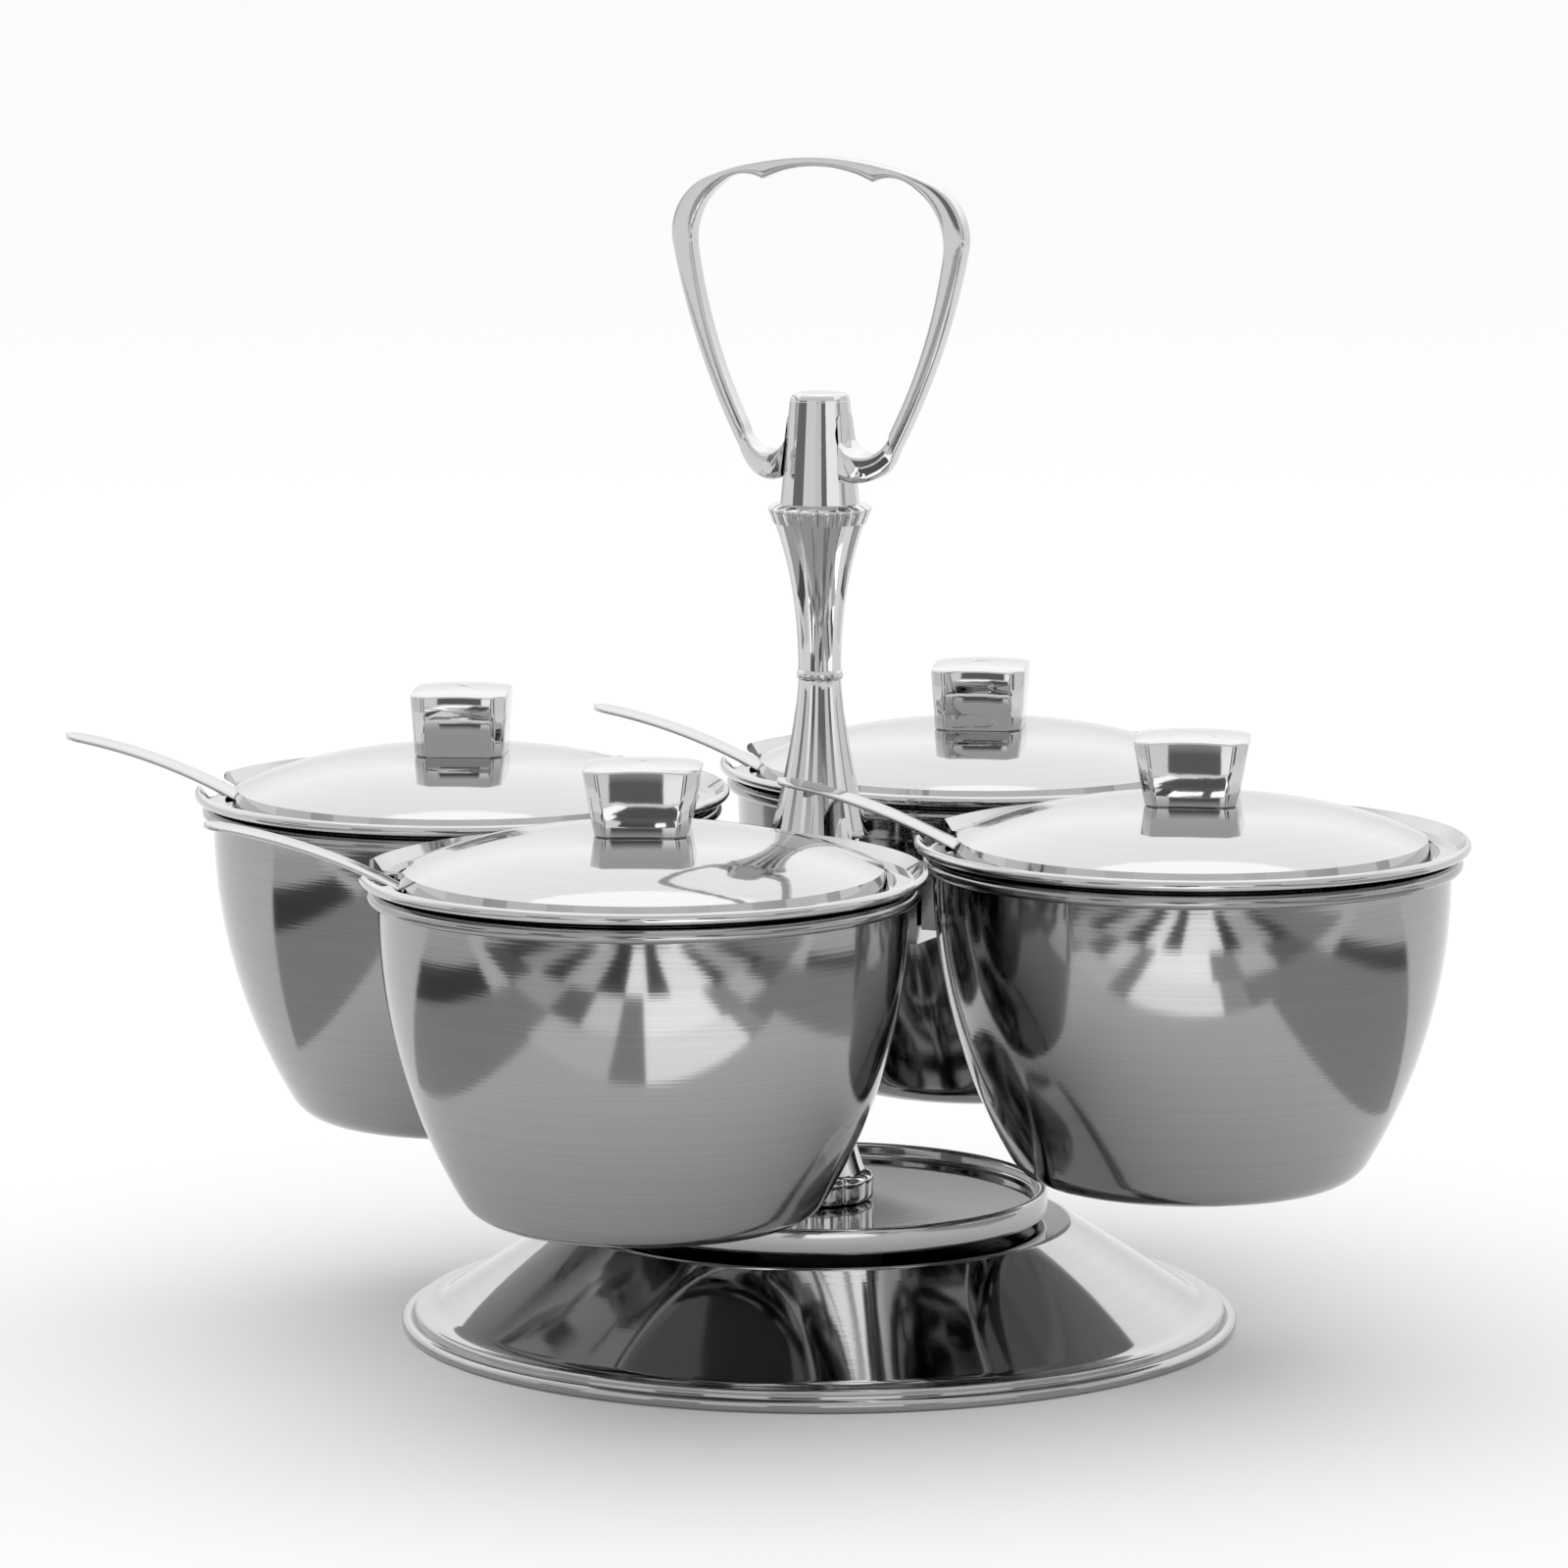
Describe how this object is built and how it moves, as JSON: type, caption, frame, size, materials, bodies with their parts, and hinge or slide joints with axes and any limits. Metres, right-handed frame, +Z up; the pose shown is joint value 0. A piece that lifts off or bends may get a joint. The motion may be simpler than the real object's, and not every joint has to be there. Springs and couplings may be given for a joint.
{
  "type": "revolving condiment server",
  "caption": "Revolving condiment server: covered bowls with spoons hung round a fluted column with a carrying handle, on a conical base.",
  "frame": {"origin": "on the column's axis, in the plane of the base's foot", "axes": "+Z up along the column; X in the plane of the handle, towards the right bowl; -Y towards the front bowl"},
  "size_m": [0.305, 0.2768, 0.241],
  "materials": {
    "stainless": "polished",
    "chrome": "bright plated",
    "fastener": "plain",
    "nylon": "matte"
  },
  "bodies": {
    "base": {"base_shell": "stainless", "pivot_bush": "nylon"},
    "carousel": {"turntable_pan": "stainless", "tie_rod": "fastener", "rod_washer": "fastener", "lock_nut": "fastener", "stem_collar": "chrome", "lower_stem": "chrome", "carrier": "chrome", "column_foot": "chrome", "column_ring": "chrome", "column_top": "chrome", "rosette": "chrome", "handle": "chrome"},
    "front_bowl": {"bowl_front": "stainless", "hanger_front": "stainless"},
    "front_lid": {"lid_front": "stainless", "knob_front": "chrome", "knob_screw_front": "fastener"},
    "front_spoon": {"spoon_front": "stainless"},
    "right_bowl": {"bowl_right": "stainless", "hanger_right": "stainless"},
    "right_lid": {"lid_right": "stainless", "knob_right": "chrome", "knob_screw_right": "fastener"},
    "right_spoon": {"spoon_right": "stainless"},
    "back_bowl": {"bowl_back": "stainless", "hanger_back": "stainless"},
    "back_lid": {"lid_back": "stainless", "knob_back": "chrome", "knob_screw_back": "fastener"},
    "back_spoon": {"spoon_back": "stainless"},
    "left_bowl": {"bowl_left": "stainless", "hanger_left": "stainless"},
    "left_lid": {"lid_left": "stainless", "knob_left": "chrome", "knob_screw_left": "fastener"},
    "left_spoon": {"spoon_left": "stainless"}
  },
  "joints": [
    {"name": "carousel_turn", "type": "hinge", "parent": "base", "child": "carousel", "pos_m": [0, 0, 0.022], "axis": [0, 0, 1], "continuous": true},
    {"name": "front_bowl_lift", "type": "slide", "parent": "carousel", "child": "front_bowl", "axis": [0, 0, 1], "range_m": [0, 0.025]},
    {"name": "front_lid_lift", "type": "slide", "parent": "front_bowl", "child": "front_lid", "axis": [0, 0, 1], "range_m": [0, 0.045]},
    {"name": "front_spoon_rock", "type": "hinge", "parent": "front_bowl", "child": "front_spoon", "pos_m": [-0.04744, -0.10252, 0.1034], "axis": [0.3907, -0.9205, 0], "range_deg": [0, 6]},
    {"name": "right_bowl_lift", "type": "slide", "parent": "carousel", "child": "right_bowl", "axis": [0, 0, 1], "range_m": [0, 0.025]},
    {"name": "right_lid_lift", "type": "slide", "parent": "right_bowl", "child": "right_lid", "axis": [0, 0, 1], "range_m": [0, 0.045]},
    {"name": "right_spoon_rock", "type": "hinge", "parent": "right_bowl", "child": "right_spoon", "pos_m": [0.03162, -0.00895, 0.1034], "axis": [0.1736, -0.9848, 0], "range_deg": [0, 6]},
    {"name": "back_bowl_lift", "type": "slide", "parent": "carousel", "child": "back_bowl", "axis": [0, 0, 1], "range_m": [0, 0.025]},
    {"name": "back_lid_lift", "type": "slide", "parent": "back_bowl", "child": "back_lid", "axis": [0, 0, 1], "range_m": [0, 0.045]},
    {"name": "back_spoon_rock", "type": "hinge", "parent": "back_bowl", "child": "back_spoon", "pos_m": [-0.05076, 0.07343, 0.1034], "axis": [0.1736, -0.9848, 0], "range_deg": [0, 6]},
    {"name": "left_bowl_lift", "type": "slide", "parent": "carousel", "child": "left_bowl", "axis": [0, 0, 1], "range_m": [0, 0.025]},
    {"name": "left_lid_lift", "type": "slide", "parent": "left_bowl", "child": "left_lid", "axis": [0, 0, 1], "range_m": [0, 0.045]},
    {"name": "left_spoon_rock", "type": "hinge", "parent": "left_bowl", "child": "left_spoon", "pos_m": [-0.1326, -0.01159, 0.1034], "axis": [0.225, -0.9744, 0], "range_deg": [0, 6]}
  ]
}
